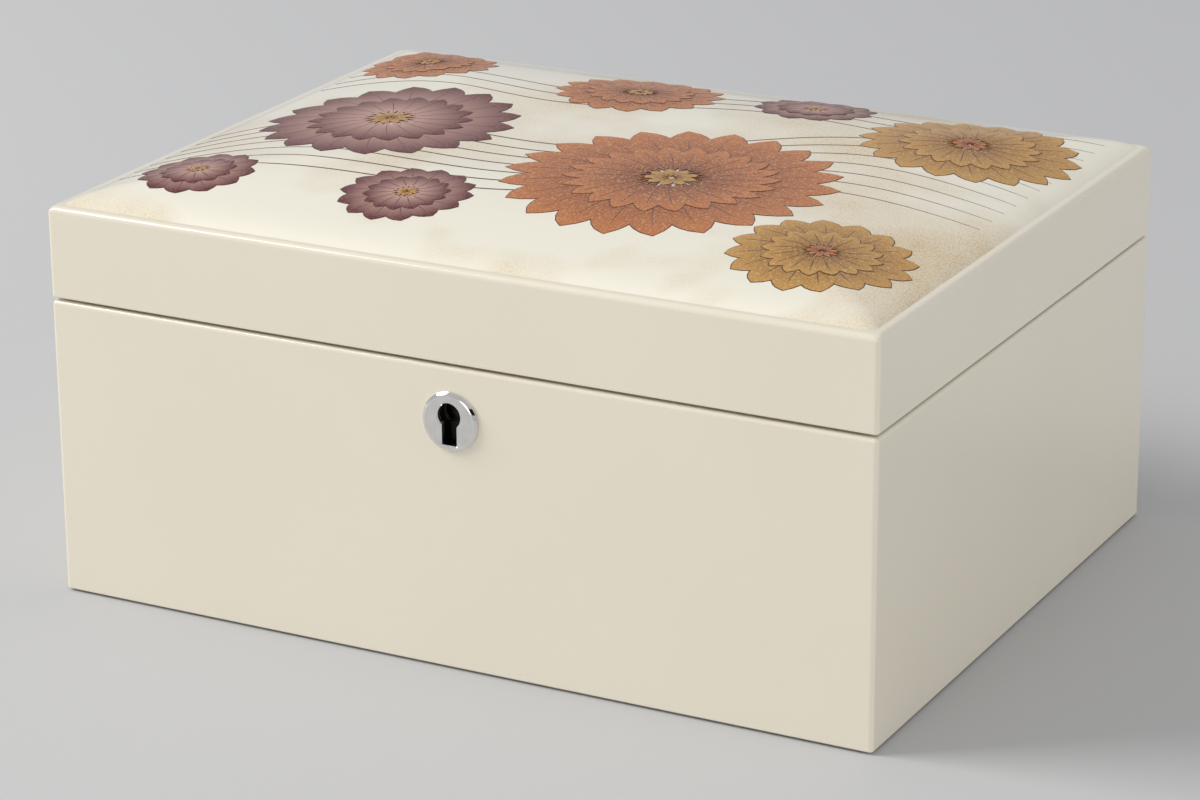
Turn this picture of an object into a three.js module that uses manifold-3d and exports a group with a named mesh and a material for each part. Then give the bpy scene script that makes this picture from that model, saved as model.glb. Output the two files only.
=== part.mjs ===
// Lacquer box with a hinged, domed lid and a front lock.
// Millimetres, +Z up. The origin is under the middle of the box, X runs along
// the width, -Y is the front with the keyhole, and Z = 0 is the resting surface.
import * as THREE from 'three';
import { mergeVertices } from 'three/addons/utils/BufferGeometryUtils.js';
import Module from 'manifold-3d';

const wasm = await Module();
wasm.setup();

// Overall sizes
const width = 240;
const depth = 185;
const wallThickness = 8;
const edgeRadius = 1.2;
const bodyHeight = 83.2;
const partingGap = 0.8;
const lidSideHeight = 25.2;
const panelEdgeThickness = 5;
const panelSeat = 1;

// Domed lid
const rimRadius = 1.7;
const rimBand = 2.7;
const shoulderRise = 1.5;
const shoulderReach = 3;
const crownRise = 6.5;
const crownReach = 60;

// Base and linings
const feltThickness = 0.6;
const feltInset = 3;
const boardThickness = 5;
const floorPadThickness = 3;
const liningThickness = 1.5;
const liningDrop = 4;
const lidLiningThickness = 2;

// Escutcheon and keyhole
const escutcheonRadius = 8;
const escutcheonThickness = 1.5;
const keyX = 2;
const keyZ = 68.7;
const keyholeHeight = 11.2;
const keyholeDrop = 0.6;
const keyholeRadius = 3.25;
const keyholeSlot = 4.2;
const keyholeClearance = 0.2;

// Box lock let into the top of the front wall
const lockWidth = 40;
const lockHeight = 33;
const lockDepth = 5.5;
const lockPlate = 1.2;
const lockFit = 0.2;
const selvedgeOverhang = 6;
const boltClearance = 0.3;
const boltTravel = 4;
const boltRaise = 7;
const boltPlateHeight = 10;
const boltArmWidth = 6;
const boltTongueLength = 5;
const boltTongueHeight = 3;
const boltTail = 4;
const springThickness = 0.9;
const springFoot = 1.5;
const springCrestShift = 5;
const catchThickness = 1.5;
const catchPlay = 1;
const catchLeg = 3;
const catchFootHeight = 2;
const catchReach = 12;
const catchGap = 0.6;
const catchSlotLength = 14;
const strikeLength = 24;
const strikeScrewInset = 4;

// Hinges on the back
const hingeInset = 45;
const hingeWidth = 30;
const hingeLeafHeight = 18;
const leafThickness = 1.2;
const knuckleRadius = 2;
const knuckleGap = 0.3;
const middleKnuckle = 10;
const pinRadius = 0.8;

// Screws
const screwHeadRadius = 1.8;
const screwShankRadius = 0.8;
const screwLength = 6;
const screwClearance = 0.3;
const roundSides = 12;
const fineSides = 40;

// How far a cutting shape runs past the face that it opens, and a joined one into its neighbour
const past = 1;

// Places worked out from the sizes
const halfWidth = width / 2;
const halfDepth = depth / 2;
const innerX = halfWidth - wallThickness;
const innerY = halfDepth - wallThickness;
const bodyTop = bodyHeight;
const lidBottom = bodyTop + partingGap;
const rimTop = lidBottom + lidSideHeight;
const panelBottom = rimTop - panelEdgeThickness;
const boardTop = feltThickness + boardThickness;
const padTop = boardTop + floorPadThickness;
const liningTop = bodyTop - liningDrop;
const hingeOffset = halfWidth - hingeInset;
const axisY = halfDepth + knuckleRadius + knuckleGap;
const axisZ = bodyTop + partingGap / 2;
const keyholeTop = keyZ + keyholeHeight / 2 - keyholeDrop;
const keyholeBottom = keyholeTop - keyholeHeight;
const lockFrontY = -innerY - lockDepth;
const lockBottom = bodyTop - lockHeight;
const catchFoot = boltTravel + catchPlay;
const cavityFront = lockFrontY + lockPlate;
const cavityBack = -innerY - lockPlate;

const ivory = { color: 0xece6d4, roughness: 0.18, metalness: 0 };
const felt = { color: 0x3a3a33, roughness: 0.95, metalness: 0 };
const wood = { color: 0xc9a878, roughness: 0.7, metalness: 0 };
const velvet = { color: 0xc8b394, roughness: 0.95, metalness: 0 };
const nickel = { color: 0xb8b5ae, roughness: 0.3, metalness: 1 };
const brass = { color: 0xb99a5b, roughness: 0.35, metalness: 1 };

const box = new THREE.Group();

function addPiece(name, geometry, finish) {
  const mesh = new THREE.Mesh(geometry, new THREE.MeshStandardMaterial(finish));
  mesh.name = name;
  box.add(mesh);
}

function block([x0, x1], [y0, y1], [z0, z1]) {
  const geometry = new THREE.BoxGeometry(x1 - x0, y1 - y0, z1 - z0);
  return geometry.translate((x0 + x1) / 2, (y0 + y1) / 2, (z0 + z1) / 2);
}

function roundBarY(radius, x, z, [y0, y1], sides = roundSides) {
  const geometry = new THREE.CylinderGeometry(radius, radius, y1 - y0, sides);
  return geometry.translate(x, (y0 + y1) / 2, z);
}

function roundBarX(radius, y, z, [x0, x1]) {
  const geometry = new THREE.CylinderGeometry(radius, radius, x1 - x0, roundSides);
  return geometry.rotateZ(Math.PI / 2).translate((x0 + x1) / 2, y, z);
}

function roundBarZ(radius, x, y, [z0, z1]) {
  const geometry = new THREE.CylinderGeometry(radius, radius, z1 - z0, roundSides);
  return geometry.rotateX(Math.PI / 2).translate(x, y, (z0 + z1) / 2);
}

// Turns a closed geometry into a solid that can be joined and cut
function toSolid(geometry) {
  const bare = geometry.clone();
  bare.deleteAttribute('normal');
  bare.deleteAttribute('uv');
  const merged = mergeVertices(bare);
  return new wasm.Manifold(new wasm.Mesh({
    numProp: 3,
    vertProperties: new Float32Array(merged.attributes.position.array),
    triVerts: new Uint32Array(merged.index.array),
  }));
}

function toGeometry(solid) {
  const mesh = solid.getMesh();
  const geometry = new THREE.BufferGeometry();
  geometry.setAttribute('position', new THREE.BufferAttribute(new Float32Array(mesh.vertProperties), 3));
  geometry.setIndex(new THREE.BufferAttribute(new Uint32Array(mesh.triVerts), 1));
  geometry.computeVertexNormals();
  return geometry;
}

function join(first, ...others) {
  return toGeometry(others.reduce((solid, other) => solid.add(toSolid(other)), toSolid(first)));
}

function cut(first, ...tools) {
  return toGeometry(tools.reduce((solid, tool) => solid.subtract(toSolid(tool)), toSolid(first)));
}

function common(first, second) {
  return toGeometry(toSolid(first).intersect(toSolid(second)));
}

// Plan of a front or back wall, rounded at its two outer corners; facing is -1 or 1
function longWall(facing, [z0, z1]) {
  const inner = facing * innerY;
  const outer = facing * halfDepth;
  const roundStart = outer - facing * edgeRadius;
  const plan = new THREE.Shape();
  plan.moveTo(-halfWidth, inner);
  plan.lineTo(-halfWidth, roundStart);
  plan.quadraticCurveTo(-halfWidth, outer, -halfWidth + edgeRadius, outer);
  plan.lineTo(halfWidth - edgeRadius, outer);
  plan.quadraticCurveTo(halfWidth, outer, halfWidth, roundStart);
  plan.lineTo(halfWidth, inner);
  plan.closePath();
  const geometry = new THREE.ExtrudeGeometry(plan, { depth: z1 - z0, bevelEnabled: false, curveSegments: 4 });
  return geometry.translate(0, 0, z0);
}

// Side wall that fits between the front and back walls; side is -1 or 1
function sideWall(side, [z0, z1]) {
  const xs = [side * innerX, side * halfWidth].sort((a, b) => a - b);
  return block(xs, [-innerY, innerY], [z0, z1]);
}

// Keyhole as a cutting bar through the front: a round top over a straight slot
function keyholeBar(extra, [y0, y1]) {
  const radius = keyholeRadius + extra;
  const roundZ = keyholeTop - keyholeRadius;
  const halfSlot = keyholeSlot / 2 + extra;
  return join(
    roundBarY(radius, keyX, roundZ, [y0, y1], fineSides),
    block([keyX - halfSlot, keyX + halfSlot], [y0, y1], [keyholeBottom - extra, roundZ]),
  );
}

// Wood screw with its head towards +Y and its shank towards -Y
function screwGeometry(headHeight) {
  const profile = [
    new THREE.Vector2(0, -screwLength),
    new THREE.Vector2(screwShankRadius, -screwLength),
    new THREE.Vector2(screwShankRadius, 0),
    new THREE.Vector2(screwHeadRadius, 0),
    new THREE.Vector2(screwHeadRadius, headHeight),
    new THREE.Vector2(0, headHeight),
  ];
  return new THREE.LatheGeometry(profile, roundSides);
}

const shankHole = screwShankRadius + screwClearance;
const headHole = screwHeadRadius + screwClearance;
const shankDepth = screwLength + screwClearance;

// Base
function buildBase() {
  const feltX = halfWidth - feltInset;
  const feltY = halfDepth - feltInset;
  addPiece('base_felt', block([-feltX, feltX], [-feltY, feltY], [0, feltThickness]), felt);
  addPiece('bottom_board', block([-innerX, innerX], [-innerY, innerY], [feltThickness, boardTop]), wood);
}

// Screw places shared by the hinges, the walls and the lid rails
const hingeCentres = [-hingeOffset, hingeOffset];
const screwSpread = hingeWidth / 3;
const bodyLeafTop = axisZ - knuckleRadius - 2 * knuckleGap;
const lidLeafBottom = axisZ + knuckleRadius + knuckleGap;
const bodyScrewZ = bodyLeafTop - hingeLeafHeight / 2;
const lidScrewZ = lidLeafBottom + hingeLeafHeight / 2;

function hingeScrewXs(centre) {
  return [-screwSpread, 0, screwSpread].map((shift) => centre + shift);
}

function hingeScrewHoles(z) {
  return hingeCentres.flatMap(hingeScrewXs)
    .map((x) => roundBarY(shankHole, x, z, [halfDepth - shankDepth, halfDepth + past]));
}

// Body walls
const selvedgeX = lockWidth / 2 + selvedgeOverhang;
const selvedgeScrewX = lockWidth / 2 + selvedgeOverhang / 2;
const selvedgeBottom = bodyTop - lockPlate;
const lockMiddleY = lockFrontY + lockDepth / 2;

function buildBodyWalls() {
  const heights = [feltThickness, bodyTop];
  const mortise = block(
    [keyX - lockWidth / 2 - lockFit, keyX + lockWidth / 2 + lockFit],
    [lockFrontY, -innerY + past],
    [lockBottom - lockFit, bodyTop + past],
  );
  const selvedgeSeat = block(
    [keyX - selvedgeX - lockFit, keyX + selvedgeX + lockFit],
    [lockFrontY, -innerY + past],
    [selvedgeBottom, bodyTop + past],
  );
  const lockScrewHoles = [-selvedgeScrewX, selvedgeScrewX].map((x) => roundBarZ(
    shankHole, keyX + x, lockMiddleY, [selvedgeBottom - shankDepth, bodyTop + past],
  ));
  const keyhole = keyholeBar(keyholeClearance, [-halfDepth - past, lockFrontY + past]);
  addPiece('body_front_wall', cut(longWall(-1, heights), mortise, selvedgeSeat, keyhole, ...lockScrewHoles), ivory);
  addPiece('body_back_wall', cut(longWall(1, heights), ...hingeScrewHoles(bodyScrewZ)), ivory);
  addPiece('body_left_wall', sideWall(-1, heights), ivory);
  addPiece('body_right_wall', sideWall(1, heights), ivory);
}

// Linings inside the body
function buildLinings() {
  const sides = innerY - liningThickness;
  addPiece('floor_pad', block([-innerX, innerX], [-innerY, innerY], [boardTop, padTop]), velvet);
  addPiece('lining_front', block([-innerX, innerX], [-innerY, -sides], [padTop, liningTop]), velvet);
  addPiece('lining_back', block([-innerX, innerX], [sides, innerY], [padTop, liningTop]), velvet);
  addPiece('lining_left', block([-innerX, -innerX + liningThickness], [-sides, sides], [padTop, liningTop]), velvet);
  addPiece('lining_right', block([innerX - liningThickness, innerX], [-sides, sides], [padTop, liningTop]), velvet);
}

// Lock: a case with a sliding bolt, closed by a cover plate on its inner face
const catchFootBottom = bodyTop - catchReach;
const catchFootTop = catchFootBottom + catchFootHeight;
const boltArmBottom = catchFootTop + boltClearance * 2;
const boltArmTop = boltArmBottom + boltTongueHeight;
const catchFootTip = keyX - catchFoot / 2;
const boltTip = catchFootTip - catchPlay;
const boltArmRight = boltTip - boltTongueLength;
const boltLeft = boltArmRight - boltArmWidth;
const boltRight = keyX + boltTail;
const boltBottom = lockBottom + boltRaise;
const boltPlateTop = boltBottom + boltPlateHeight;

function buildLock() {
  addPiece('escutcheon', cut(
    roundBarY(escutcheonRadius, keyX, keyZ, [-halfDepth - escutcheonThickness, -halfDepth], fineSides),
    keyholeBar(0, [-halfDepth - escutcheonThickness - past, -halfDepth + past]),
  ), nickel);

  const caseX = [keyX - lockWidth / 2, keyX + lockWidth / 2];
  const coverY = [cavityBack, -innerY];
  const caseBlock = block(caseX, [lockFrontY, cavityBack], [lockBottom, selvedgeBottom]);
  const selvedge = block([keyX - selvedgeX, keyX + selvedgeX], [lockFrontY, -innerY], [selvedgeBottom, bodyTop]);
  const cavity = block(
    [caseX[0] + lockPlate, caseX[1] - lockPlate],
    [cavityFront, -innerY + past],
    [lockBottom + lockPlate, selvedgeBottom],
  );
  const catchSlot = block(
    [keyX - catchSlotLength / 2, keyX + catchSlotLength / 2],
    [cavityFront, cavityBack],
    [selvedgeBottom - past, bodyTop + past],
  );
  const holes = [-selvedgeScrewX, selvedgeScrewX].map((x) => roundBarZ(
    headHole, keyX + x, lockMiddleY, [selvedgeBottom - past, bodyTop + past],
  ));
  const keyhole = keyholeBar(keyholeClearance, [lockFrontY - past, cavityFront + lockPlate / 2]);
  addPiece('lock_case', cut(join(caseBlock, selvedge), cavity, catchSlot, keyhole, ...holes), nickel);
  addPiece('lock_cover', block(caseX, coverY, [lockBottom, selvedgeBottom]), nickel);

  const boltY = [cavityFront + boltClearance, cavityBack - boltClearance];
  addPiece('lock_bolt', join(
    block([boltLeft, boltRight], boltY, [boltBottom, boltPlateTop]),
    block([boltLeft, boltArmRight], boltY, [boltPlateTop, boltArmTop]),
    block([boltArmRight, boltTip], boltY, [boltArmBottom, boltArmTop]),
  ), brass);

  const springFloor = lockBottom + lockPlate;
  const springTop = boltBottom - boltClearance;
  const springUnder = springTop - springThickness;
  const crestX = keyX - springCrestShift;
  const springPlan = new THREE.Shape();
  springPlan.moveTo(boltLeft, springFloor);
  springPlan.quadraticCurveTo(crestX, 2 * springTop - springFloor, boltRight, springFloor);
  springPlan.lineTo(boltRight - springFoot, springFloor);
  springPlan.quadraticCurveTo(crestX, 2 * springUnder - springFloor, boltLeft + springFoot, springFloor);
  springPlan.closePath();
  const spring = new THREE.ExtrudeGeometry(springPlan, {
    depth: boltY[1] - boltY[0], bevelEnabled: false, curveSegments: 10,
  });
  addPiece('bolt_spring', spring.rotateX(Math.PI / 2).translate(0, boltY[1], 0), nickel);

  [['left', -selvedgeScrewX], ['right', selvedgeScrewX]].forEach(([side, x]) => {
    const screw = screwGeometry(lockPlate).rotateX(Math.PI / 2);
    addPiece(`lock_screw_${side}`, screw.translate(keyX + x, lockMiddleY, selvedgeBottom), nickel);
  });
}

// Height of the lid's upper face
function domeTop(inset) {
  const roundDepth = Math.max(rimRadius - inset, 0);
  const rounding = rimRadius - Math.sqrt(rimRadius ** 2 - roundDepth ** 2);
  const run = Math.max(inset - rimBand, 0);
  const shoulder = shoulderRise * (1 - Math.exp(-run / shoulderReach));
  const crown = crownRise * (1 - (1 - Math.min(run / crownReach, 1)) ** 2);
  return rimTop - rounding + shoulder + crown;
}

// Height of the lid panel's under face, flat where it sits on the rails
function domeUnder(inset) {
  const run = Math.max(inset - wallThickness - panelSeat, 0);
  return panelBottom + crownRise * (1 - (1 - Math.min(run / crownReach, 1)) ** 2);
}

// Panel as a fine grid that is closer at the edges
function lidPanel() {
  const gridX = 24;
  const gridY = 20;
  const edgeGrading = 1.8;
  const geometry = new THREE.BoxGeometry(2, 2, 2, gridX, gridY, 1);
  const points = geometry.attributes.position;
  for (let i = 0; i < points.count; i += 1) {
    const insetX = halfWidth * (1 - Math.abs(points.getX(i))) ** edgeGrading;
    const insetY = halfDepth * (1 - Math.abs(points.getY(i))) ** edgeGrading;
    const inset = Math.min(insetX, insetY);
    const height = points.getZ(i) > 0 ? domeTop(inset) : domeUnder(inset);
    const x = Math.sign(points.getX(i)) * (halfWidth - insetX);
    const y = Math.sign(points.getY(i)) * (halfDepth - insetY);
    points.setXYZ(i, x, y, height);
  }
  return geometry;
}

function roundedBlock([z0, z1]) {
  return join(
    longWall(-1, [z0, z1]),
    block([-halfWidth, halfWidth], [-innerY, innerY], [z0, z1]),
    longWall(1, [z0, z1]),
  );
}

// Lid
const strikeY = [lockFrontY, -innerY];
const strikeX = [keyX - strikeLength / 2, keyX + strikeLength / 2];
const strikeScrewXs = strikeX.map((x) => x + Math.sign(keyX - x) * strikeScrewInset);

function buildLid() {
  const heights = [lidBottom, panelBottom];
  const strikeSeat = block(
    [strikeX[0] - lockFit, strikeX[1] + lockFit],
    [strikeY[0] - lockFit, strikeY[1] + past],
    [lidBottom - past, lidBottom + lockPlate],
  );
  const strikeHoles = strikeScrewXs.map((x) => roundBarZ(
    shankHole, x, lockMiddleY, [lidBottom - past, lidBottom + lockPlate + shankDepth],
  ));
  addPiece('lid_front_rail', cut(longWall(-1, heights), strikeSeat, ...strikeHoles), ivory);
  addPiece('lid_back_rail', cut(longWall(1, heights), ...hingeScrewHoles(lidScrewZ)), ivory);
  addPiece('lid_left_rail', sideWall(-1, heights), ivory);
  addPiece('lid_right_rail', sideWall(1, heights), ivory);
  addPiece('lid_panel', common(lidPanel(), roundedBlock([panelBottom - past, rimTop + shoulderRise + crownRise + past])), ivory);
  addPiece('lid_lining', block(
    [-innerX, innerX], [-innerY, innerY], [panelBottom - lidLiningThickness, panelBottom],
  ), velvet);
}

// Strike plate with the catch that drops through the lock's slot
function buildStrike() {
  const catchY = [cavityFront + catchGap, cavityFront + catchGap + catchThickness];
  const legX = [catchFootTip + catchFoot, catchFootTip + catchFoot + catchLeg];
  const plate = block(strikeX, strikeY, [lidBottom, lidBottom + lockPlate]);
  const leg = block(legX, catchY, [catchFootBottom, lidBottom + lockPlate / 2]);
  const foot = block([catchFootTip, legX[0] + past], catchY, [catchFootBottom, catchFootTop]);
  const holes = strikeScrewXs.map((x) => roundBarZ(
    headHole, x, lockMiddleY, [lidBottom - past, lidBottom + lockPlate + past],
  ));
  addPiece('strike_plate', cut(join(plate, leg, foot), ...holes), nickel);
  strikeScrewXs.forEach((x, index) => {
    const screw = screwGeometry(lockPlate).rotateX(-Math.PI / 2);
    addPiece(`strike_screw_${['left', 'right'][index]}`, screw.translate(x, lockMiddleY, lidBottom + lockPlate), nickel);
  });
}

// One hinge: body leaf with two outer knuckles, lid leaf with the middle one, and the pin
function buildHinge(centre, side) {
  const ends = [centre - hingeWidth / 2, centre + hingeWidth / 2];
  const middle = [centre - middleKnuckle / 2, centre + middleKnuckle / 2];
  const outer = [
    [ends[0], middle[0] - knuckleGap],
    [middle[1] + knuckleGap, ends[1]],
  ];
  const leafY = [halfDepth, halfDepth + leafThickness];
  const bore = roundBarX(pinRadius + knuckleGap, axisY, axisZ, [ends[0] - past, ends[1] + past]);
  const headHoles = (z) => hingeScrewXs(centre)
    .map((x) => roundBarY(headHole, x, z, [halfDepth - past, halfDepth + leafThickness + past]));

  const bodyLeaf = join(
    block(ends, leafY, [bodyLeafTop - hingeLeafHeight, bodyLeafTop]),
    ...outer.map((xs) => block(xs, leafY, [bodyLeafTop - past, axisZ])),
    ...outer.map((xs) => roundBarX(knuckleRadius, axisY, axisZ, xs)),
  );
  addPiece(`hinge_leaf_body_${side}`, cut(bodyLeaf, bore, ...headHoles(bodyScrewZ)), brass);

  const lidLeaf = join(
    block(ends, leafY, [lidLeafBottom, lidLeafBottom + hingeLeafHeight]),
    block(middle, leafY, [axisZ, lidLeafBottom + past]),
    roundBarX(knuckleRadius, axisY, axisZ, middle),
  );
  addPiece(`hinge_leaf_lid_${side}`, cut(lidLeaf, bore, ...headHoles(lidScrewZ)), brass);
  addPiece(`hinge_pin_${side}`, roundBarX(pinRadius, axisY, axisZ, ends), brass);
}

function buildHingeScrews(leaf, z) {
  hingeCentres.flatMap(hingeScrewXs).forEach((x, index) => {
    addPiece(`hinge_screw_${leaf}_${index + 1}`, screwGeometry(leafThickness).translate(x, halfDepth, z), brass);
  });
}

buildBase();
buildBodyWalls();
buildLinings();
buildLock();
buildLid();
buildStrike();
buildHinge(-hingeOffset, 'left');
buildHinge(hingeOffset, 'right');
buildHingeScrews('body', bodyScrewZ);
buildHingeScrews('lid', lidScrewZ);

export default box;
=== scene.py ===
"""Ivory lacquer box with a domed, decorated lid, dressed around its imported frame."""
import math

import bmesh
import bpy
from mathutils import Matrix, Vector


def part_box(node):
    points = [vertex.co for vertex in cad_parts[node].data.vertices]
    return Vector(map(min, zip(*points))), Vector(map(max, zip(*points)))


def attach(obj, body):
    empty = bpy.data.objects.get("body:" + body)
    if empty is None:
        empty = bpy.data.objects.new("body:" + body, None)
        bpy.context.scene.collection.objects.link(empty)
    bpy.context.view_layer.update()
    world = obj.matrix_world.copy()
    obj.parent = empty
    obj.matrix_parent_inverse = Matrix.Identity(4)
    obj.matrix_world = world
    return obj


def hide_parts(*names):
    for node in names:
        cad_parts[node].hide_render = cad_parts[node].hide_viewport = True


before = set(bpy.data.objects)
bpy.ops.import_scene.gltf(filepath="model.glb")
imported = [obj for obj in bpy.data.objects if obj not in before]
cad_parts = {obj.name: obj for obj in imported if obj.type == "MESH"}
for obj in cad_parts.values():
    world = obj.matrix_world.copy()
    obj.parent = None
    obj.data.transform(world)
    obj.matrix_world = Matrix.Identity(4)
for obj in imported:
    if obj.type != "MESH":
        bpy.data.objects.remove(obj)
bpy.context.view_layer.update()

MM = 0.001

# Places and sizes taken from the frame, in metres
wall_low, wall_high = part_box("body_front_wall")
back_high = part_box("body_back_wall")[1]
rail_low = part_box("lid_front_rail")[0]
panel_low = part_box("lid_panel")[0]
plate_low, plate_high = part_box("escutcheon")
case_low, case_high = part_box("lock_case")
cover_low, cover_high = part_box("lock_cover")
strike_low, strike_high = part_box("strike_plate")

HALF_X = wall_high.x
HALF_Y = back_high.y
BASE_Z = wall_low.z
BODY_TOP = wall_high.z
LID_BOTTOM = rail_low.z
PANEL_BOTTOM = panel_low.z
WALL = HALF_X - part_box("lining_right")[1].x

# Rounded edges and the dome
EDGE_RADIUS = 1.2 * MM
LOWER_EDGE = 0.5 * MM
PANEL_EDGE = 5 * MM
RIM_RADIUS = 1.7 * MM
RIM_BAND = 2.7 * MM
SHOULDER_RISE = 1.5 * MM
SHOULDER_REACH = 3 * MM
CROWN_RISE = 6.5 * MM
CROWN_REACH = 60 * MM
RIM_TOP = PANEL_BOTTOM + PANEL_EDGE
HIP_RADIUS = 3 * MM
SMALLEST_RADIUS = 0.05 * MM
CORNER_STEPS = 8
ARC_STEPS = 6
DOME_STEPS = 40
DOME_CROWDING = 1.6

# Cuts for the lock, the keyhole and the strike
CUT_FIT = 0.2 * MM
CUT_PAST = 1 * MM
HAIR = 0.05 * MM

# Keyhole and its plate
KEY_X = (plate_low.x + plate_high.x) / 2
KEY_Z = (plate_low.z + plate_high.z) / 2
PLATE_RADIUS = (plate_high.x - plate_low.x) / 2
HOLE_RADIUS = 3.25 * MM
HOLE_HALF_SLOT = 2.1 * MM
HOLE_ABOVE_MIDDLE = 5 * MM
HOLE_HEIGHT = 11.2 * MM
HOLE_TOP = KEY_Z + HOLE_ABOVE_MIDDLE
HOLE_BOTTOM = HOLE_TOP - HOLE_HEIGHT
HOLE_STEPS = 40
HOLE_LIP = 0.3 * MM
PLATE_SIDES = 96
BEVEL_WIDTH = 1.1 * MM
BEVEL_HEIGHT = 0.8 * MM
BEVEL_BULGE = 0.42

# Photograph's camera
CAMERA_PLACE = Vector((0.485858, -0.928352, 0.416564))
CAMERA_YAW = math.radians(27.822)
CAMERA_PITCH = math.radians(19.535)
CAMERA_ROLL = math.radians(-0.361)
CAMERA_LENS = 121.256
SENSOR_WIDTH = 36


# Materials


class Nodes:
    """Small helper that adds and links shader nodes in one material."""

    def __init__(self, name):
        self.material = bpy.data.materials.new(name)
        self.material.use_nodes = True
        self.tree = self.material.node_tree
        self.shader = self.tree.nodes["Principled BSDF"]

    def add(self, kind, **values):
        node = self.tree.nodes.new(kind)
        for key, value in values.items():
            if key in node.inputs:
                node.inputs[key].default_value = value
            else:
                setattr(node, key, value)
        return node

    def link(self, source, target):
        self.tree.links.new(source, target)

    def place(self):
        return self.add("ShaderNodeTexCoord").outputs["Object"]

    def noise(self, scale, detail=3.0, roughness=0.5):
        node = self.add("ShaderNodeTexNoise", Scale=scale, Detail=detail, Roughness=roughness)
        self.link(self.place(), node.inputs["Vector"])
        return node.outputs["Fac"]

    def ramp(self, source, stops):
        node = self.add("ShaderNodeValToRGB")
        elements = node.color_ramp.elements
        while len(elements) < len(stops):
            elements.new(0.5)
        for element, (position, colour) in zip(elements, stops):
            element.position = position
            element.color = (*colour, 1)
        self.link(source, node.inputs["Fac"])
        return node.outputs["Color"]

    def mix(self, factor, first, second):
        node = self.add("ShaderNodeMix", data_type="RGBA")
        for socket, value in ((node.inputs[0], factor), (node.inputs[6], first), (node.inputs[7], second)):
            if isinstance(value, bpy.types.NodeSocket):
                self.link(value, socket)
            elif isinstance(value, tuple):
                socket.default_value = (*value, 1)
            else:
                socket.default_value = value
        return node.outputs[2]

    def bump(self, height, strength, distance):
        node = self.add("ShaderNodeBump", Strength=strength, Distance=distance)
        self.link(height, node.inputs["Height"])
        self.link(node.outputs["Normal"], self.shader.inputs["Normal"])

    def surface(self, roughness, metallic=0.0, coat=0.0, sheen=0.0):
        self.shader.inputs["Roughness"].default_value = roughness
        self.shader.inputs["Metallic"].default_value = metallic
        self.shader.inputs["Coat Weight"].default_value = coat
        self.shader.inputs["Coat Roughness"].default_value = 0.03
        self.shader.inputs["Sheen Weight"].default_value = sheen

    def colour(self, value):
        if isinstance(value, tuple):
            self.shader.inputs["Base Color"].default_value = (*value, 1)
        else:
            self.link(value, self.shader.inputs["Base Color"])


BLACK = (0, 0, 0)
WHITE = (1, 1, 1)
IVORY = (0.80, 0.745, 0.615)
IVORY_WARM = (0.79, 0.732, 0.595)
# Painted light: the dome's ivory is lighter than the body's, standing in for the light that falls on the
# lid's top.
DOME_IVORY_PAINTED_LIGHT = (0.87, 0.825, 0.70)
CREAM_GOLD = (0.74, 0.59, 0.38)
GOLD_DUST = (0.52, 0.36, 0.15)
WOOD_DARK = (0.42, 0.27, 0.13)
WOOD_LIGHT = (0.56, 0.39, 0.21)


def gloss(nodes):
    """Hard glossy coat with a barely uneven surface."""
    nodes.bump(nodes.noise(scale=45, detail=1), strength=0.02, distance=0.4 * MM)
    nodes.surface(0.16, coat=0.5)


def ivory_lacquer():
    """Glossy ivory with a faint unevenness of tone."""
    nodes = Nodes("ivory_lacquer")
    nodes.colour(nodes.ramp(nodes.noise(scale=18, detail=2), [(0.35, IVORY), (0.7, IVORY_WARM)]))
    gloss(nodes)
    return nodes.material


def dusted_lacquer_painted_light():
    """Lid lacquer: ivory with drifting clouds of sprinkled gold dust, the ivory painted lighter than the
    body's as painted light on the dome.
    """
    nodes = Nodes("dusted_lacquer_painted_light")
    cloud = nodes.ramp(nodes.noise(scale=8, detail=4, roughness=0.6), [(0.46, BLACK), (0.66, WHITE)])
    grains = nodes.ramp(nodes.noise(scale=2600, detail=2), [(0.5, BLACK), (0.62, WHITE)])
    tone = nodes.mix(cloud, DOME_IVORY_PAINTED_LIGHT, CREAM_GOLD)
    dust = nodes.add("ShaderNodeMath", operation="MULTIPLY")
    nodes.link(cloud, dust.inputs[0])
    nodes.link(grains, dust.inputs[1])
    nodes.colour(nodes.mix(dust.outputs[0], tone, GOLD_DUST))
    gloss(nodes)
    return nodes.material


def sprinkled(name, inner, outer, dust):
    """Petal colour that turns from inner to outer along the petal, under sprinkled dust."""
    nodes = Nodes(name)
    along = nodes.add("ShaderNodeAttribute", attribute_name="along").outputs["Fac"]
    tone = nodes.ramp(along, [(0.1, inner), (0.9, outer)])
    grains = nodes.ramp(nodes.noise(scale=1700, detail=2), [(0.52, BLACK), (0.66, (0.6, 0.6, 0.6))])
    nodes.colour(nodes.mix(grains, tone, dust))
    nodes.bump(nodes.noise(scale=900, detail=2), strength=0.05, distance=0.2 * MM)
    nodes.surface(0.3)
    nodes.shader.inputs["Specular IOR Level"].default_value = 0.3
    return nodes.material


def darker(colour, share):
    return tuple(share * part for part in colour)


def satin_metal(name, colour, roughness):
    """Metal with a slightly mottled tone and a fine grain."""
    nodes = Nodes(name)
    mottle = nodes.noise(scale=300, detail=2)
    nodes.colour(nodes.ramp(mottle, [(0.3, darker(colour, 0.88)), (0.7, colour)]))
    nodes.bump(nodes.noise(scale=1500, detail=2), strength=0.04, distance=0.1 * MM)
    nodes.surface(roughness, metallic=1.0)
    return nodes.material


def soft_cloth(name, colour, grain):
    """Cloth with a soft nap as fine as its grain."""
    nodes = Nodes(name)
    nap = nodes.noise(scale=grain, detail=4)
    nodes.colour(nodes.ramp(nap, [(0.3, darker(colour, 0.72)), (0.7, colour)]))
    nodes.bump(nodes.noise(scale=grain * 2, detail=3), strength=0.5, distance=0.3 * MM)
    nodes.surface(0.95, sheen=0.5)
    return nodes.material


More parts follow.
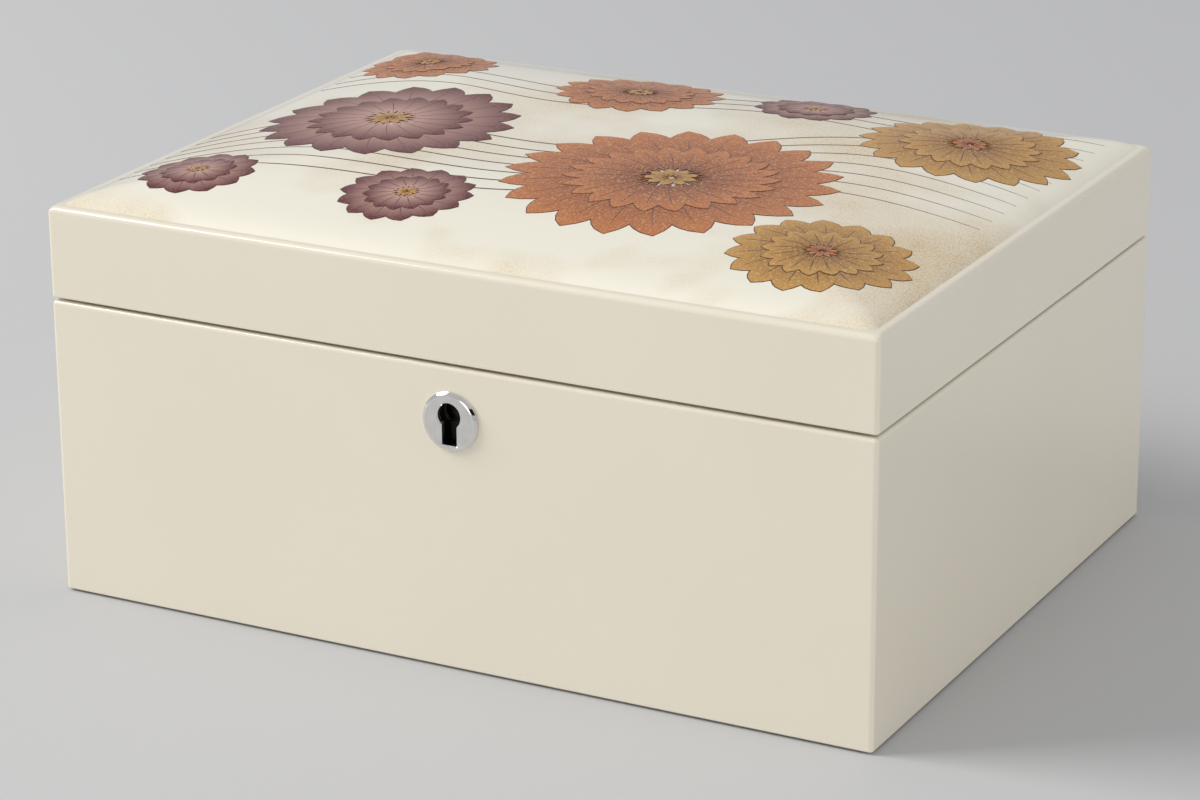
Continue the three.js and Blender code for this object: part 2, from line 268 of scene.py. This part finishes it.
def board_wood():
    """Bare board with wavy growth rings."""
    nodes = Nodes("board_wood")
    rings = nodes.add("ShaderNodeTexWave", Scale=60.0, Distortion=4.0, Detail=3.0)
    nodes.link(nodes.place(), rings.inputs["Vector"])
    nodes.colour(nodes.ramp(rings.outputs["Fac"], [(0.2, WOOD_DARK), (0.8, WOOD_LIGHT)]))
    nodes.surface(0.7)
    return nodes.material


LACQUER = ivory_lacquer()
DUSTED_DOME_PAINTED_LIGHT = dusted_lacquer_painted_light()
NICKEL = satin_metal("satin_nickel", (0.79, 0.775, 0.75), 0.26)
POLISHED = satin_metal("polished_nickel", (0.86, 0.85, 0.83), 0.06)
# Painted shade: near-black for the inside of the keyhole, where shade falls.
KEYHOLE_PAINTED_SHADE = satin_metal("keyhole_painted_shade", (0.012, 0.011, 0.01), 0.8)
# Painted shade: near-black steel for the lock parts seen through the keyhole, standing in for the shade
# there.
LOCK_STEEL_PAINTED_SHADE = satin_metal("lock_steel_painted_shade", (0.05, 0.048, 0.045), 0.5)
BRASS = satin_metal("satin_brass", (0.6, 0.44, 0.2), 0.32)
VELVET = soft_cloth("beige_velvet", (0.58, 0.45, 0.3), 900)
FELT = soft_cloth("dark_felt", (0.05, 0.05, 0.042), 700)
WOOD = board_wood()


# Mesh making


def new_object(name, verts, faces, material, sharp_degrees=35):
    """Makes one smooth-shaded object whose faces all point outwards."""
    mesh = bpy.data.meshes.new(name)
    mesh.from_pydata([tuple(v) for v in verts], [], faces)
    work = bmesh.new()
    work.from_mesh(mesh)
    bmesh.ops.recalc_face_normals(work, faces=work.faces)
    work.to_mesh(mesh)
    work.free()
    made = bpy.data.objects.new(name, mesh)
    bpy.context.scene.collection.objects.link(made)
    mesh.materials.append(material)
    smooth(made, sharp_degrees)
    return made


def smooth(made, sharp_degrees=35):
    for polygon in made.data.polygons:
        polygon.use_smooth = True
    made.data.set_sharp_from_angle(angle=math.radians(sharp_degrees))


def keep_flats(made):
    """Keeps large flat faces flat beside their small rounded edges."""
    modifier = made.modifiers.new("flat_faces", "WEIGHTED_NORMAL")
    modifier.weight = 100
    modifier.keep_sharp = True


def rounded_ring(inset, radius, z):
    """Points of a rounded rectangle that lies inset from the box's outer faces."""
    half_x = HALF_X - inset
    half_y = HALF_Y - inset
    radius = max(radius, SMALLEST_RADIUS)
    points = []
    for index, (side_x, side_y) in enumerate(((1, 1), (-1, 1), (-1, -1), (1, -1))):
        for step in range(CORNER_STEPS + 1):
            turn = math.pi / 2 * (index + step / CORNER_STEPS)
            points.append(Vector((
                side_x * (half_x - radius) + radius * math.cos(turn),
                side_y * (half_y - radius) + radius * math.sin(turn),
                z,
            )))
    return points


def skin(name, rings, material, closed):
    """Joins rings into one surface, closed round on itself or capped at both ends."""
    count = len(rings[0])
    verts = [point for ring in rings for point in ring]
    faces = []
    for row in range(len(rings) if closed else len(rings) - 1):
        low = row * count
        high = (row + 1) % len(rings) * count
        for i in range(count):
            j = (i + 1) % count
            faces.append((low + i, low + j, high + j, high + i))
    if not closed:
        faces.append(tuple(range(count)))
        faces.append(tuple(range(len(verts) - count, len(verts))))
    return new_object(name, verts, faces, material)


def cut_away(made, cutters):
    """Cuts the cutters out of the object and removes them."""
    for cutter in cutters:
        modifier = made.modifiers.new("cut", "BOOLEAN")
        modifier.operation = "DIFFERENCE"
        modifier.solver = "EXACT"
        modifier.object = cutter
    evaluated = made.evaluated_get(bpy.context.evaluated_depsgraph_get())
    mesh = bpy.data.meshes.new_from_object(evaluated)
    made.modifiers.clear()
    made.data = mesh
    for cutter in cutters:
        bpy.data.objects.remove(cutter)
    smooth(made)


def block_cutter(low, high):
    corners = []
    for z in (low.z, high.z):
        for y in (low.y, high.y):
            corners += [Vector((low.x, y, z)), Vector((high.x, y, z))]
    faces = [(0, 1, 3, 2), (4, 5, 7, 6), (0, 1, 5, 4), (2, 3, 7, 6), (0, 2, 6, 4), (1, 3, 7, 5)]
    return new_object("cutter", corners, faces, LACQUER)


def keyhole_ring(y, extra):
    """Outline of the round-topped keyhole at one depth, larger all round by extra."""
    radius = HOLE_RADIUS + extra
    half_slot = HOLE_HALF_SLOT + extra
    middle = HOLE_TOP - HOLE_RADIUS
    lowest = -math.acos(half_slot / radius)
    ring = []
    for step in range(HOLE_STEPS + 1):
        turn = lowest + (math.pi - 2 * lowest) * step / HOLE_STEPS
        ring.append(Vector((KEY_X + radius * math.cos(turn), y, middle + radius * math.sin(turn))))
    ring.append(Vector((KEY_X - half_slot, y, HOLE_BOTTOM - extra)))
    ring.append(Vector((KEY_X + half_slot, y, HOLE_BOTTOM - extra)))
    return ring


def keyhole_cutter(depths):
    """Keyhole through the front, from pairs of a depth and how much larger the hole is there."""
    return skin("cutter", [keyhole_ring(y, extra) for y, extra in depths], LACQUER, closed=False)


def arc():
    """Fractions (1 - cos, sin) along a quarter round."""
    turns = [math.pi / 2 * step / ARC_STEPS for step in range(ARC_STEPS + 1)]
    return [(1 - math.cos(turn), math.sin(turn)) for turn in turns]


# Body and lid shells


def lower_edge(bottom):
    """Rings round a small lower edge, from its top down to the underside."""
    rings = []
    for run, rise in arc():
        z = bottom + LOWER_EDGE - LOWER_EDGE * rise
        rings.append(rounded_ring(LOWER_EDGE * run, EDGE_RADIUS - LOWER_EDGE * run, z))
    return rings


def body_shell():
    """The four walls as one lacquered shell, open above and below, with its seats for the lock."""
    rings = [rounded_ring(WALL, 0, BASE_Z), rounded_ring(WALL, 0, BODY_TOP)]
    for run, rise in reversed(arc()):
        z = BODY_TOP - EDGE_RADIUS + EDGE_RADIUS * rise
        rings.append(rounded_ring(EDGE_RADIUS * run, EDGE_RADIUS * (1 - run), z))
    rings += lower_edge(BASE_Z)
    made = skin("body_shell", rings, LACQUER, closed=True)
    inside = cover_high.y + CUT_PAST
    above = BODY_TOP + CUT_PAST
    cut_away(made, [
        keyhole_cutter([(-HALF_Y - CUT_PAST, CUT_FIT), (case_low.y + CUT_PAST, CUT_FIT)]),
        block_cutter(Vector((cover_low.x - CUT_FIT, case_low.y, case_low.z - CUT_FIT)),
                     Vector((cover_high.x + CUT_FIT, inside, above))),
        block_cutter(Vector((case_low.x - CUT_FIT, case_low.y, cover_high.z)),
                     Vector((case_high.x + CUT_FIT, inside, above))),
    ])
    # Painted shade on the keyhole's inner walls.
    paint_keyhole_shade(made)
    keep_flats(made)
    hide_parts("body_front_wall", "body_back_wall", "body_left_wall", "body_right_wall")
    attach(made, "body")


def paint_keyhole_shade(made):
    """Paints shade on the bare inside of the keyhole: its walls take a near-black colour that stands in
    for the shade in the hole.
    """
    made.data.materials.append(KEYHOLE_PAINTED_SHADE)
    for polygon in made.data.polygons:
        place = polygon.center
        across = abs(place.x - KEY_X) < HOLE_RADIUS + CUT_PAST
        upright = HOLE_BOTTOM - CUT_PAST < place.z < HOLE_TOP + CUT_PAST
        within = -HALF_Y + HAIR < place.y < case_low.y - HAIR
        if across and upright and within:
            polygon.material_index = 1


def dome_height(inset):
    """Height of the lid's top at an inset: a quick shoulder and then a long, even crown."""
    run = max(inset - RIM_BAND, 0)
    shoulder = SHOULDER_RISE * (1 - math.exp(-run / SHOULDER_REACH))
    crown = CROWN_RISE * (1 - (1 - min(run / CROWN_REACH, 1)) ** 2)
    return RIM_TOP + shoulder + crown


def inset_at(x, y):
    """Inset of the rounded ring that passes through a place on the lid."""
    a = HALF_X - abs(x)
    b = HALF_Y - abs(y)
    if abs(a - b) >= HIP_RADIUS:
        return min(a, b)
    return (a + b - 2 * HIP_RADIUS + math.sqrt(2 * HIP_RADIUS ** 2 - (a - b) ** 2)) / 2


def lid_shell():
    """The lid's rails and domed panel as one lacquered shell, with its seat for the strike."""
    rings = [rounded_ring(WALL, 0, PANEL_BOTTOM), rounded_ring(WALL, 0, LID_BOTTOM)]
    rings += reversed(lower_edge(LID_BOTTOM))
    for run, rise in arc():
        radius = EDGE_RADIUS * (1 - run) + HIP_RADIUS * run
        z = RIM_TOP - RIM_RADIUS + RIM_RADIUS * rise
        rings.append(rounded_ring(RIM_RADIUS * run, radius, z))
    rings.append(rounded_ring(RIM_BAND, HIP_RADIUS, RIM_TOP))
    for step in range(1, DOME_STEPS + 1):
        inset = RIM_BAND + CROWN_REACH * (step / DOME_STEPS) ** DOME_CROWDING
        rings.append(rounded_ring(inset, HIP_RADIUS, dome_height(inset)))
    made = skin("lid_shell", rings, LACQUER, closed=False)
    made.data.materials.append(DUSTED_DOME_PAINTED_LIGHT)
    cut_away(made, [block_cutter(
        Vector((strike_low.x - CUT_FIT, case_low.y - CUT_FIT, LID_BOTTOM - CUT_PAST)),
        Vector((strike_high.x + CUT_FIT, cover_high.y + CUT_PAST, strike_high.z)),
    )])
    # The dome's faces take the dusted lacquer, whose lighter ivory is painted light.
    for polygon in made.data.polygons:
        if polygon.center.z > RIM_TOP + HAIR:
            polygon.material_index = 1
    keep_flats(made)
    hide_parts("lid_front_rail", "lid_back_rail", "lid_left_rail", "lid_right_rail", "lid_panel")
    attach(made, "lid")


# Keyhole plate


def keyhole_plate():
    """Round nickel plate with a polished bevel and a satin face."""
    thickness = plate_high.y - plate_low.y
    profile = [
        (PLATE_RADIUS, 0),
        (PLATE_RADIUS, thickness - BEVEL_HEIGHT),
        (PLATE_RADIUS - BEVEL_WIDTH / 2, thickness - BEVEL_HEIGHT * BEVEL_BULGE),
        (PLATE_RADIUS - BEVEL_WIDTH, thickness),
    ]
    rings = []
    for radius, out in profile:
        ring = []
        for side in range(PLATE_SIDES):
            turn = 2 * math.pi * side / PLATE_SIDES
            ring.append(Vector((
                KEY_X + radius * math.cos(turn),
                plate_high.y - out,
                KEY_Z + radius * math.sin(turn),
            )))
        rings.append(ring)
    made = skin("keyhole_plate", rings, NICKEL, closed=False)
    cut_away(made, [keyhole_cutter([
        (plate_low.y - HOLE_LIP, 2 * HOLE_LIP),
        (plate_low.y + HOLE_LIP, 0),
        (plate_high.y + CUT_PAST, 0),
    ])])
    made.data.materials.append(POLISHED)
    middle = Vector((KEY_X, 0, KEY_Z))
    for polygon in made.data.polygons:
        away = polygon.center - middle
        tilted = abs(polygon.normal.y) < 0.99
        if tilted or math.hypot(away.x, away.z) > PLATE_RADIUS - BEVEL_WIDTH:
            polygon.material_index = 1
    keep_flats(made)
    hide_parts("escutcheon")
    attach(made, "body")


# Soft pieces

CLOTH_STEPS = 24
CLOTH_EDGE = 0.8 * MM
CLOTH_EDGE_SHARE = 0.4
CLOTH_FALL = 4 * MM


def soft_board(name, node, body, crown, material):
    """Cloth-covered board or pad that fills a node's box, with rounded edges and a light crown."""
    low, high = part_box(node)
    size = high - low
    thin = min(range(3), key=lambda axis: size[axis])
    across = [axis for axis in range(3) if axis != thin]
    edge = min(CLOTH_EDGE, size[thin] * CLOTH_EDGE_SHARE)
    middle = (low + high) / 2
    work = bmesh.new()
    bmesh.ops.create_cube(work, size=1)
    bmesh.ops.subdivide_edges(work, edges=work.edges[:], cuts=CLOTH_STEPS, use_grid_fill=True)
    for vert in work.verts:
        spot = [2 * vert.co[axis] for axis in range(3)]
        from_edge = min((1 - abs(spot[axis])) * size[axis] / 2 for axis in across)
        fall = min(from_edge / CLOTH_FALL, 1.0)
        swell = 1 - (1 - fall) ** 2
        depth = size[thin] / 2 - (edge + crown) * (1 - swell)
        place = [spot[axis] * size[axis] / 2 for axis in range(3)]
        place[thin] = spot[thin] * depth
        vert.co = Vector(place) + middle
    mesh = bpy.data.meshes.new(name)
    work.to_mesh(mesh)
    work.free()
    made = bpy.data.objects.new(name, mesh)
    bpy.context.scene.collection.objects.link(made)
    mesh.materials.append(material)
    smooth(made, 60)
    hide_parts(node)
    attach(made, body)
    return made


def soft_pieces():
    for side in ("front", "back", "left", "right"):
        soft_board(f"velvet_{side}", f"lining_{side}", "body", 0, VELVET)
    soft_board("velvet_floor_pad", "floor_pad", "body", 0.5 * MM, VELVET)
    soft_board("velvet_lid_pad", "lid_lining", "lid", 0.3 * MM, VELVET)
    soft_board("felt_base", "base_felt", "body", 0, FELT)


# Lid decoration: blossoms and flowing lines laid over the dome

ART_MARGIN = RIM_BAND + 0.8 * MM
RELIEF = 0.09 * MM
SIDE_RELIEF = 0.3 * RELIEF
SUNK = 0.12 * MM
EDGING = 0.28 * MM
VEIN = 0.2 * MM
VEIN_REACH = 0.86
VEIN_BEND = 0.1
PETAL_BEND = 0.12
PETAL_STEPS = 12
PETAL_WIDTH = 0.92
PETAL_TIP = 0.04
HEART_STROKES = 9
LINE_STEPS = 60
LINE_TIP = 0.15

# Tones of a petal at its near end, at its far end and in its dust
COPPER_TONES = ((0.19, 0.04, 0.012), (0.46, 0.145, 0.042), (0.74, 0.42, 0.17))
OCHRE_TONES = ((0.25, 0.1, 0.02), (0.50, 0.26, 0.065), (0.72, 0.5, 0.2))
PLUM_TONES = ((0.55, 0.33, 0.28), (0.10, 0.014, 0.02), (0.33, 0.14, 0.12))
LINE_TONES = ((0.09, 0.035, 0.03), (0.13, 0.06, 0.045), (0.22, 0.12, 0.07))

# Blossoms: x and y of the middle and the radius in metres, petals in a row, turn of the first one
COPPER_BLOSSOMS = (
    (0.028, -0.020, 0.045, 22, 0.1),
    (-0.020, 0.056, 0.024, 16, 0.2),
    (-0.092, 0.062, 0.020, 14, 0.7),
)
OCHRE_BLOSSOMS = (
    (0.084, 0.048, 0.030, 18, 0.5),
    (0.088, -0.056, 0.024, 16, 0.3),
)
PLUM_BLOSSOMS = (
    (-0.068, -0.002, 0.036, 18, 0.4),
    (-0.030, -0.058, 0.018, 14, 0.1),
    (-0.092, -0.062, 0.016, 12, 0.6),
    (0.030, 0.066, 0.017, 12, 0.9),
)


def on_dome(x, y, lift):
    """Place on the dome, held inside its edge."""
    x = max(-HALF_X + ART_MARGIN, min(HALF_X - ART_MARGIN, x))
    y = max(-HALF_Y + ART_MARGIN, min(HALF_Y - ART_MARGIN, y))
    return Vector((x, y, dome_height(inset_at(x, y)) + lift))


class Inlay:
    """Collects thin raised shapes of one colour into one piece."""

    def __init__(self, name, material):
        self.name = name
        self.material = material
        self.verts = []
        self.faces = []
        self.along = []

    def band(self, spine, half_widths, lift):
        """Raised strip along spine points, with a ridge in its middle."""
        start = len(self.verts)
        last = len(spine) - 1
        for i, (x, y) in enumerate(spine):
            before = spine[max(i - 1, 0)]
            after = spine[min(i + 1, last)]
            heading = math.atan2(after[1] - before[1], after[0] - before[0])
            side_x = -math.sin(heading) * half_widths[i]
            side_y = math.cos(heading) * half_widths[i]
            self.verts.append(on_dome(x + side_x, y + side_y, lift + SIDE_RELIEF))
            self.verts.append(on_dome(x, y, lift + RELIEF))
            self.verts.append(on_dome(x - side_x, y - side_y, lift + SIDE_RELIEF))
            self.verts.append(on_dome(x, y, -SUNK))
            self.along += [i / last] * 4
        for i in range(last):
            a = start + 4 * i
            b = a + 4
            for j in range(4):
                k = (j + 1) % 4
                self.faces.append((a + j, a + k, b + k, b + j))
        self.faces.append(tuple(start + j for j in range(4)))
        self.faces.append(tuple(start + 4 * last + j for j in range(4)))

    def petal(self, x, y, heading, near, far, half_width, lift, bend=0.0):
        """Petal from near to far along heading, rounded at its tip."""
        spine = []
        widths = []
        for step in range(PETAL_STEPS + 1):
            part = step / PETAL_STEPS
            reach = near + (far - near) * part
            turn = heading + bend * part
            spine.append((x + reach * math.cos(turn), y + reach * math.sin(turn)))
            widths.append(half_width * max(math.sin(math.pi * part ** 1.5) ** 0.7, PETAL_TIP))
        self.band(spine, widths, lift)

    def finish(self):
        """Makes the piece, with each strip's run from 0 to 1 kept for its material."""
        made = new_object(self.name, self.verts, self.faces, self.material, 60)
        attribute = made.data.attributes.new("along", "FLOAT", "POINT")
        for i, value in enumerate(self.along):
            attribute.data[i].value = value
        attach(made, "lid")


def blossom(inlay, edging, x, y, radius, petals, twist):
    """Open blossom in two rows of petals, each with a dark edge and a middle vein."""
    edging_drop = RELIEF * 0.7
    outer_row = (0.30, 1.0, RELIEF * 0.7)
    inner_row = (0.12, 0.64, RELIEF * 2.2)
    for row, (near, far, lift) in enumerate((outer_row, inner_row)):
        reach = far * radius
        width = radius * far * math.sin(math.pi / petals) * PETAL_WIDTH
        for index in range(petals):
            heading = twist + 2 * math.pi * (index + row / 2) / petals
            place = (x, y, heading, near * radius)
            edging.petal(*place, reach + EDGING, width + EDGING, lift - edging_drop, PETAL_BEND)
            inlay.petal(*place, reach, width, lift, PETAL_BEND)
            edging.petal(*place, reach * VEIN_REACH, VEIN, lift + RELIEF * 0.5, VEIN_BEND)


def heart(inlay, x, y, radius):
    """Seed head of a blossom: short strokes round its middle."""
    near = 0.02 * radius
    far = 0.16 * radius
    half_width = 0.035 * radius
    for index in range(HEART_STROKES):
        heading = 2 * math.pi * index / HEART_STROKES
        inlay.petal(x, y, heading, near, far, half_width, lift=RELIEF * 3.2)


def grow(inlay, hearts, edging, blossoms):
    """Blossoms of one colour, each with its heart in another."""
    for x, y, radius, petals, twist in blossoms:
        blossom(inlay, edging, x, y, radius, petals, twist)
        heart(hearts, x, y, radius)


def flowing_line(inlay, start, end, sway, waves, half_width):
    """Thin swaying line between two places."""
    spine = []
    widths = []
    length = math.hypot(end[0] - start[0], end[1] - start[1])
    side = ((start[1] - end[1]) / length, (end[0] - start[0]) / length)
    for step in range(LINE_STEPS + 1):
        part = step / LINE_STEPS
        shift = sway * math.sin(2 * math.pi * waves * part)
        spine.append((start[0] + (end[0] - start[0]) * part + side[0] * shift,
                      start[1] + (end[1] - start[1]) * part + side[1] * shift))
        widths.append(half_width * max(math.sin(math.pi * part) ** 0.5, LINE_TIP))
    inlay.band(spine, widths, 0)


def line_sheaf(inlay, count, start, end, spacing, fan, sway, sway_growth, waves, half_width):
    """Lines side by side, spaced at their starts and fanned out by a share at their ends."""
    for row in range(count):
        shift = spacing * row
        flowing_line(
            inlay,
            (start[0], start[1] + shift),
            (end[0], end[1] + fan * shift),
            sway + sway_growth * row,
            waves,
            half_width,
        )


def decorate_lid():
    copper = Inlay("copper_blossoms", sprinkled("copper_dust", *COPPER_TONES))
    ochre = Inlay("ochre_blossoms", sprinkled("ochre_dust", *OCHRE_TONES))
    plum = Inlay("plum_blossoms", sprinkled("plum_dust", *PLUM_TONES))
    lines = Inlay("plum_lines", sprinkled("plum_line", *LINE_TONES))
    grow(copper, ochre, lines, COPPER_BLOSSOMS)
    grow(ochre, copper, lines, OCHRE_BLOSSOMS)
    grow(plum, ochre, lines, PLUM_BLOSSOMS)
    line_sheaf(lines, count=7, start=(-0.112, -0.070), end=(0.110, -0.006), spacing=7.5 * MM, fan=1.1,
               sway=7 * MM, sway_growth=0.6 * MM, waves=1.6, half_width=0.35 * MM)
    line_sheaf(lines, count=3, start=(-0.110, 0.030), end=(0.112, 0.058), spacing=8 * MM, fan=1,
               sway=6 * MM, sway_growth=0, waves=2.1, half_width=0.3 * MM)
    for inlay in (copper, ochre, plum, lines):
        inlay.finish()


# CAD nodes that keep their own shape


def dress_nodes():
    """Gives the hinges, the lock, the strike and the bottom board their finishes; the lock's inner parts
    are painted near-black as shade seen through the keyhole.
    """
    for name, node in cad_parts.items():
        if name.startswith("hinge"):
            finish = BRASS
        # Painted shade: the lock's inner parts are near-black for the shade seen through the keyhole.
        elif name in ("lock_case", "lock_bolt", "bolt_spring"):
            finish = LOCK_STEEL_PAINTED_SHADE
        elif name.startswith(("lock", "strike")):
            finish = NICKEL
        elif name == "bottom_board":
            finish = WOOD
        else:
            continue
        for material_slot in node.material_slots:
            material_slot.material = finish


# Stage, camera and light

FLOOR_HALF = 6
FLOOR_DARK = (0.545, 0.545, 0.555)
FLOOR_LIGHT = (0.565, 0.565, 0.572)
CARD_PLACE = (1.7, -2.8, 0.95)
CARD_HALF_WIDTH = 1
CARD_HALF_HEIGHT = 0.45
CARD_BLACK = (0.01, 0.01, 0.01)
WARM_WHITE = (1.0, 0.99, 0.97)
SOFT_WHITE = (1.0, 0.99, 0.98)
COOL_WHITE = (0.97, 0.985, 1.0)
SKY_STRENGTH = 0.54


def flat_sheet(name, half_x, half_y, material):
    corners = [
        Vector((-half_x, -half_y, 0)),
        Vector((half_x, -half_y, 0)),
        Vector((half_x, half_y, 0)),
        Vector((-half_x, half_y, 0)),
    ]
    return new_object(name, corners, [(0, 1, 2, 3)], material)


def facing(place, target):
    """Turn that points an object's -Z axis from its place to the target."""
    return (Vector(target) - Vector(place)).to_track_quat("-Z", "Y").to_euler()


def stage_floor():
    nodes = Nodes("studio_floor")
    nodes.colour(nodes.ramp(nodes.noise(scale=0.8, detail=1), [(0.3, FLOOR_DARK), (0.7, FLOOR_LIGHT)]))
    nodes.surface(0.75)
    floor = flat_sheet("studio_floor", FLOOR_HALF, FLOOR_HALF, nodes.material)


def dark_card():
    """Dark card behind the camera, for the polished bevel of the keyhole plate to reflect."""
    nodes = Nodes("dark_card")
    nodes.colour(CARD_BLACK)
    nodes.surface(0.9)
    card = flat_sheet("dark_card", CARD_HALF_WIDTH, CARD_HALF_HEIGHT, nodes.material)
    card.location = CARD_PLACE
    card.rotation_euler = facing(CARD_PLACE, (0, 0, 0))


def camera():
    """Camera whose place, turn and lens match the photograph's edges."""
    cos_yaw, sin_yaw = math.cos(CAMERA_YAW), math.sin(CAMERA_YAW)
    cos_pitch, sin_pitch = math.cos(CAMERA_PITCH), math.sin(CAMERA_PITCH)
    cos_roll, sin_roll = math.cos(CAMERA_ROLL), math.sin(CAMERA_ROLL)
    forward = Vector((-sin_yaw * cos_pitch, cos_yaw * cos_pitch, -sin_pitch))
    level = Vector((cos_yaw, sin_yaw, 0))
    upright = level.cross(forward)
    right = level * cos_roll + upright * sin_roll
    up = upright * cos_roll - level * sin_roll
    data = bpy.data.cameras.new("photo_camera")
    data.lens = CAMERA_LENS
    data.sensor_width = SENSOR_WIDTH
    made = bpy.data.objects.new("photo_camera", data)
    bpy.context.scene.collection.objects.link(made)
    turn = Matrix((right, up, -forward)).transposed()
    made.matrix_world = Matrix.Translation(CAMERA_PLACE) @ turn.to_4x4()
    bpy.context.scene.camera = made


def softbox(name, place, target, size, power, colour):
    """Square area light that faces its target."""
    data = bpy.data.lights.new(name, "AREA")
    data.shape = "SQUARE"
    data.size = size
    data.energy = power
    data.color = colour
    made = bpy.data.objects.new(name, data)
    bpy.context.scene.collection.objects.link(made)
    made.location = place
    made.rotation_euler = facing(place, target)


def light():
    """Key light from the left, weaker lights from the front and the right, and an even sky."""
    softbox("key_softbox", place=(-1.9, -0.85, 1.75), target=(0, 0, 0.05),
            size=1.3, power=51, colour=WARM_WHITE)
    softbox("front_softbox", place=(0.1, -2.4, 0.35), target=(0, 0, 0.06),
            size=0.9, power=10.5, colour=WARM_WHITE)
    softbox("side_softbox", place=(1.6, -0.1, 0.32), target=(0, 0, 0.06),
            size=0.6, power=4.8, colour=SOFT_WHITE)
    world = bpy.data.worlds.new("studio")
    world.use_nodes = True
    background = world.node_tree.nodes["Background"]
    background.inputs["Color"].default_value = (*COOL_WHITE, 1)
    background.inputs["Strength"].default_value = SKY_STRENGTH
    bpy.context.scene.world = world
    bpy.context.scene.view_settings.view_transform = "Standard"


camera()
light()
stage_floor()
dark_card()
body_shell()
lid_shell()
keyhole_plate()
soft_pieces()
decorate_lid()
dress_nodes()
